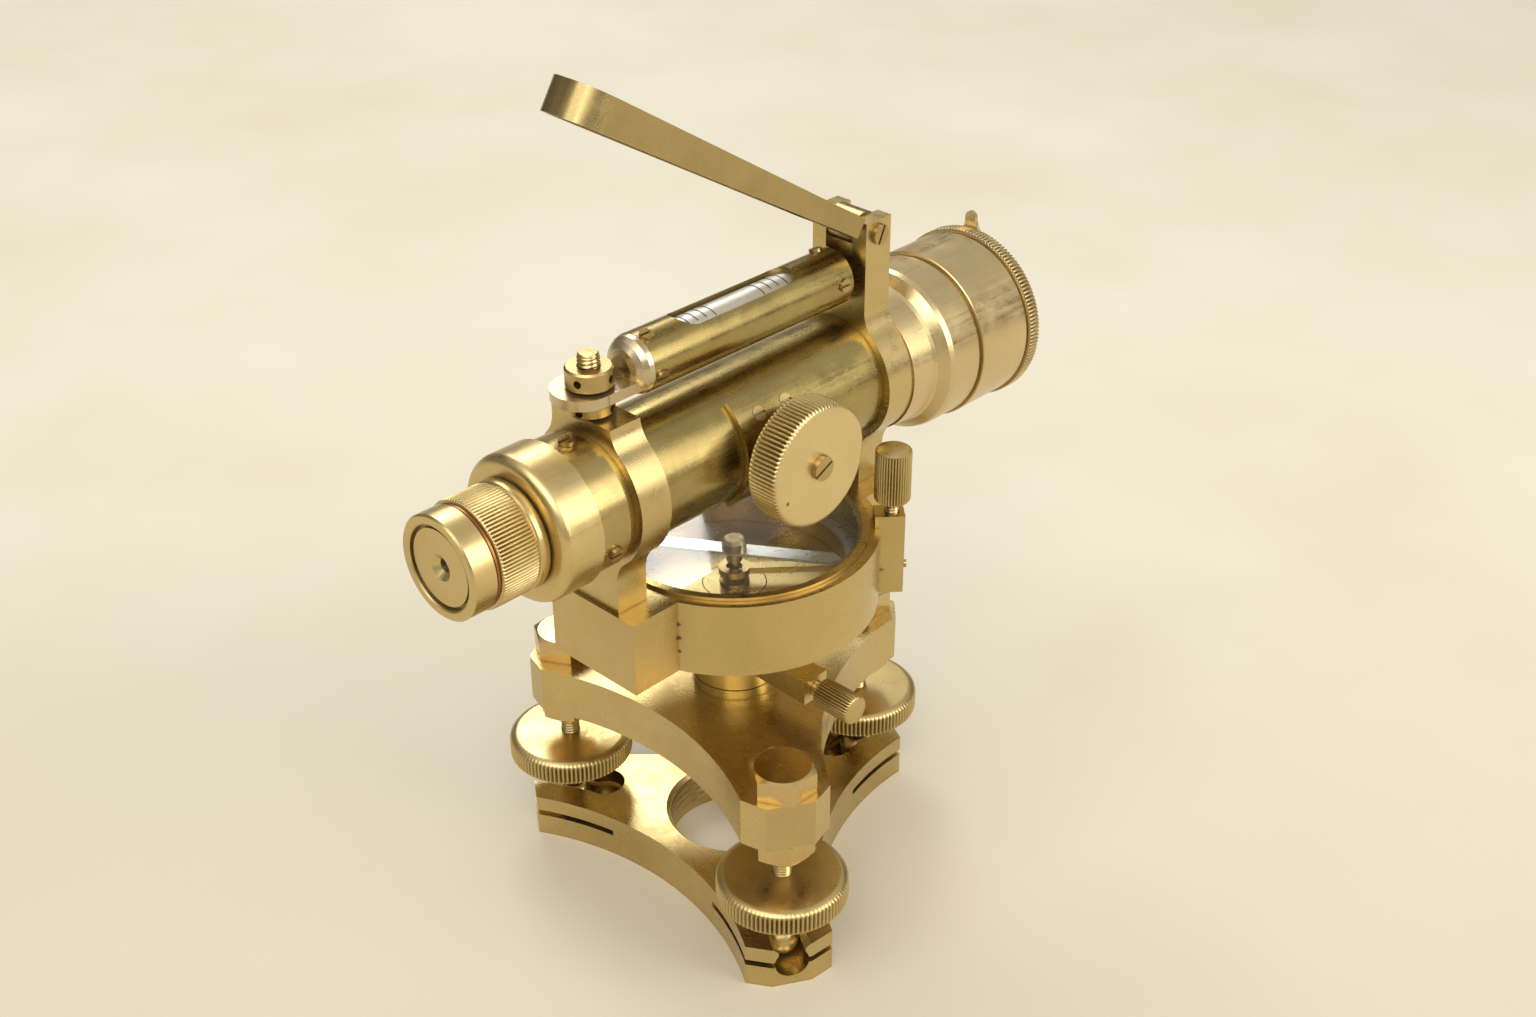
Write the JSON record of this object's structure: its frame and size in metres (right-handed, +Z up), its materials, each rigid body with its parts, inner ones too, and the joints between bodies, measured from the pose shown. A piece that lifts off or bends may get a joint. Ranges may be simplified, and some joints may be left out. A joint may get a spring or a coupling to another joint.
{
  "type": "surveying level",
  "caption": "Compact brass dumpy level: telescope with tube level and folding mirror above a compass box on a three-screw levelling head.",
  "frame": {"origin": "on the axis of the tripod thread, at the underside of the base plate", "axes": "+Z up along the vertical axis, +X along the telescope from the eyepiece to the objective, -Y towards the focusing knob"},
  "size_m": [0.1648, 0.1035, 0.2048],
  "materials": {
    "brass_plain": "polished",
    "brass_cast": "satin",
    "brass_tube": "lacquered",
    "brass_barrel": "polished",
    "brass_knurled": "knurled",
    "brass_screws": "polished",
    "silvered": "silvered",
    "needle_steel": "polished",
    "blackened": "blackened",
    "glass": "clear",
    "vial_glass": "clear",
    "mirror": "polished"
  },
  "bodies": {
    "base": {"base_plate": "brass_cast", "foot_ball_a": "brass_plain"},
    "ball_b": {"foot_ball_b": "brass_plain"},
    "ball_c": {"foot_ball_c": "brass_plain"},
    "levelling_head": {"upper_plate": "brass_cast", "foot_bushes": "brass_plain", "bush_nuts": "brass_plain", "axis_socket": "brass_cast"},
    "spindle_a": {"foot_spindle_a": "brass_plain"},
    "spindle_b": {"foot_spindle_b": "brass_plain"},
    "spindle_c": {"foot_spindle_c": "brass_plain"},
    "disc_a": {"foot_disc_a": "brass_knurled"},
    "disc_b": {"foot_disc_b": "brass_knurled"},
    "disc_c": {"foot_disc_c": "brass_knurled"},
    "head": {"axis_spindle": "brass_plain", "axis_nut": "brass_plain", "clamp_collar": "brass_cast", "compass_box": "brass_cast", "dial_ring": "silvered", "pivot_post": "blackened", "compass_glass": "glass", "bezel_ring": "brass_plain", "arrest_pins": "brass_screws", "near_upright": "brass_cast", "far_upright": "brass_cast", "main_tube": "brass_tube", "objective_barrel": "brass_barrel", "objective_cell": "brass_barrel", "objective_lens": "glass", "objective_rim": "brass_barrel", "shutter_screw": "brass_screws", "saddle": "brass_tube", "saddle_screws": "brass_screws", "diaphragm_ring": "brass_barrel", "reticle": "blackened", "diaphragm_screws": "brass_screws", "eyepiece_barrel": "brass_barrel", "adjusting_stud": "brass_screws", "mirror_screw": "brass_screws"},
    "clamp": {"clamp_screw": "brass_knurled"},
    "needle": {"needle": "needle_steel", "needle_cap": "brass_plain"},
    "lifter": {"needle_lifter": "brass_plain"},
    "arrest": {"arrest_screw": "brass_knurled"},
    "shutter": {"shutter": "brass_barrel"},
    "focus_slide": {"focus_cell": "blackened", "focus_lens": "glass"},
    "focus_knob": {"focus_knob": "brass_knurled", "pinion_shaft": "brass_plain", "knob_screw": "brass_screws"},
    "eyepiece": {"eyepiece_tube": "brass_knurled", "eye_lenses": "glass"},
    "eyepiece_ring": {"eyepiece_ring": "brass_knurled"},
    "level": {"level_tube": "brass_tube", "vial": "vial_glass", "level_plug": "silvered", "level_screws": "brass_screws"},
    "capstans": {"capstan_nuts": "brass_screws"},
    "mirror": {"mirror_frame": "brass_cast", "mirror_glass": "mirror"}
  },
  "joints": [
    {"name": "tilt_a", "type": "hinge", "parent": "base", "child": "ball_b", "pos_m": [0.04249, -0.00111, 0.0064], "axis": [-0.8526, 0.5225, 0], "range_deg": [-2.5, 2.5]},
    {"name": "tilt_b", "type": "hinge", "parent": "ball_b", "child": "ball_c", "pos_m": [-0.02028, 0.03735, 0.0064], "axis": [-0.0262, -0.9997, 0], "range_deg": [-2.5, 2.5]},
    {"name": "tilt_c", "type": "hinge", "parent": "ball_c", "child": "levelling_head", "pos_m": [-0.02221, -0.03624, 0.0064], "axis": [0.8788, 0.4772, 0], "range_deg": [-2.5, 2.5]},
    {"name": "foot_a_lift", "type": "slide", "parent": "levelling_head", "child": "spindle_a", "axis": [0, 0, 1], "range_m": [-0.0028, 0.0028]},
    {"name": "foot_b_lift", "type": "slide", "parent": "levelling_head", "child": "spindle_b", "axis": [0, 0, 1], "range_m": [-0.0028, 0.0028]},
    {"name": "foot_c_lift", "type": "slide", "parent": "levelling_head", "child": "spindle_c", "axis": [0, 0, 1], "range_m": [-0.0028, 0.0028]},
    {"name": "foot_a_turn", "type": "hinge", "parent": "spindle_a", "child": "disc_a", "pos_m": [-0.02221, -0.03624, 0.023], "axis": [0, 0, 1], "range_deg": [-1010, 1010]},
    {"name": "foot_b_turn", "type": "hinge", "parent": "spindle_b", "child": "disc_b", "pos_m": [0.04249, -0.00111, 0.023], "axis": [0, 0, 1], "range_deg": [-1010, 1010]},
    {"name": "foot_c_turn", "type": "hinge", "parent": "spindle_c", "child": "disc_c", "pos_m": [-0.02028, 0.03735, 0.023], "axis": [0, 0, 1], "range_deg": [-1010, 1010]},
    {"name": "azimuth", "type": "hinge", "parent": "levelling_head", "child": "head", "pos_m": [0, 0, 0.066], "axis": [0, 0, 1], "continuous": true},
    {"name": "clamp_turn", "type": "hinge", "parent": "head", "child": "clamp", "pos_m": [-0.00079, -0.02999, 0.0599], "axis": [-0.0262, -0.9997, 0], "range_deg": [0, 360]},
    {"name": "needle_turn", "type": "hinge", "parent": "head", "child": "needle", "pos_m": [0, 0, 0.085], "axis": [0, 0, 1], "continuous": true},
    {"name": "arrest_turn", "type": "hinge", "parent": "head", "child": "arrest", "pos_m": [0.02596, -0.02421, 0.1], "axis": [0, 0, 1], "range_deg": [-90, 0]},
    {"name": "lifter_tilt", "type": "hinge", "parent": "head", "child": "lifter", "pos_m": [0.02443, -0.02278, 0.0798], "axis": [0.682, 0.7314, 0], "range_deg": [0, 2.5]},
    {"name": "mirror_hinge", "type": "hinge", "parent": "head", "child": "mirror", "pos_m": [0.03775, 0, 0.1524], "axis": [0, 1, 0], "range_deg": [-29.1, 60]},
    {"name": "level_adjust", "type": "hinge", "parent": "head", "child": "level", "pos_m": [0.0367, 0, 0.142], "axis": [0, 1, 0], "range_deg": [-0.25, 0.25]},
    {"name": "capstan_turn", "type": "hinge", "parent": "head", "child": "capstans", "pos_m": [-0.0388, 0.0015, 0.14], "axis": [0, 0, 1], "range_deg": [-238, 238]},
    {"name": "focus_turn", "type": "hinge", "parent": "head", "child": "focus_knob", "pos_m": [-0.0006, -0.0225, 0.117], "axis": [0, -1, 0], "range_deg": [-172, 172]},
    {"name": "focus_slide", "type": "slide", "parent": "head", "child": "focus_slide", "axis": [1, 0, 0], "range_m": [-0.0074, 0.0074]},
    {"name": "eyepiece_slide", "type": "slide", "parent": "head", "child": "eyepiece", "axis": [-1, 0, 0], "range_m": [0, 0.003]},
    {"name": "eyepiece_turn", "type": "hinge", "parent": "eyepiece", "child": "eyepiece_ring", "pos_m": [-0.068, 0, 0.117], "axis": [-1, 0, 0], "range_deg": [0, 541]},
    {"name": "shutter_swing", "type": "hinge", "parent": "head", "child": "shutter", "pos_m": [0.083, 0.00859, 0.13282], "axis": [-1, 0, 0], "range_deg": [0, 140]}
  ],
  "couplings": [
    {"joint": "foot_a_lift", "follows": "tilt_a", "m_per_rad": -0.06375},
    {"joint": "foot_a_turn", "follows": "tilt_a", "ratio": 400.55},
    {"joint": "foot_b_lift", "follows": "tilt_b", "m_per_rad": -0.06375},
    {"joint": "foot_b_turn", "follows": "tilt_b", "ratio": 400.55},
    {"joint": "foot_c_lift", "follows": "tilt_c", "m_per_rad": -0.06375},
    {"joint": "foot_c_turn", "follows": "tilt_c", "ratio": 400.55},
    {"joint": "lifter_tilt", "follows": "arrest_turn", "ratio": -0.027778},
    {"joint": "capstan_turn", "follows": "level_adjust", "ratio": 948.76},
    {"joint": "focus_slide", "follows": "focus_turn", "m_per_rad": 0.00245},
    {"joint": "eyepiece_turn", "follows": "eyepiece_slide", "rad_per_m": 3141.6}
  ]
}
